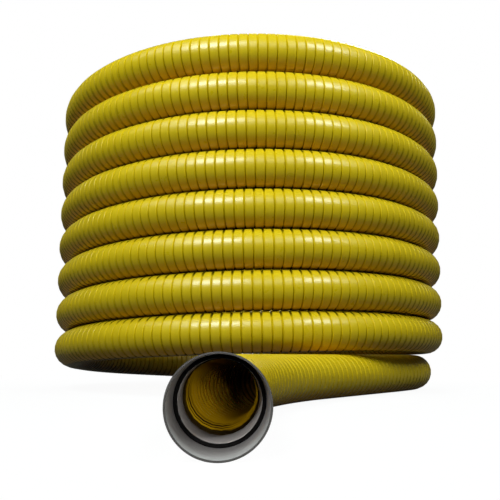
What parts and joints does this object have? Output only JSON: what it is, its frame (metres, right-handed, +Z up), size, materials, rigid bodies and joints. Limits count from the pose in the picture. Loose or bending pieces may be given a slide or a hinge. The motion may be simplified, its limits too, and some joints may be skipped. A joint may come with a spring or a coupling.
{
  "type": "flexible underground duct",
  "caption": "Standing coil of yellow corrugated underground cable duct with a level tail that ends in a grey push-fit coupling with a rubber seal.",
  "frame": {"origin": "on the ground under the middle of the part's box, with the coil's axis over x = 0", "axes": "+Z up, -Y out of the coupling's mouth, +X to the right of someone who faces the mouth"},
  "size_m": [1.0677, 1.8894, 0.8237],
  "materials": {
    "duct_yellow": "satin corrugated plastic",
    "coupling_grey": "satin moulded plastic",
    "seal_black": "matt rubber"
  },
  "bodies": {
    "root": {"duct": "duct_yellow", "coupling": "coupling_grey", "seal_ring": "seal_black"}
  },
  "joints": []
}
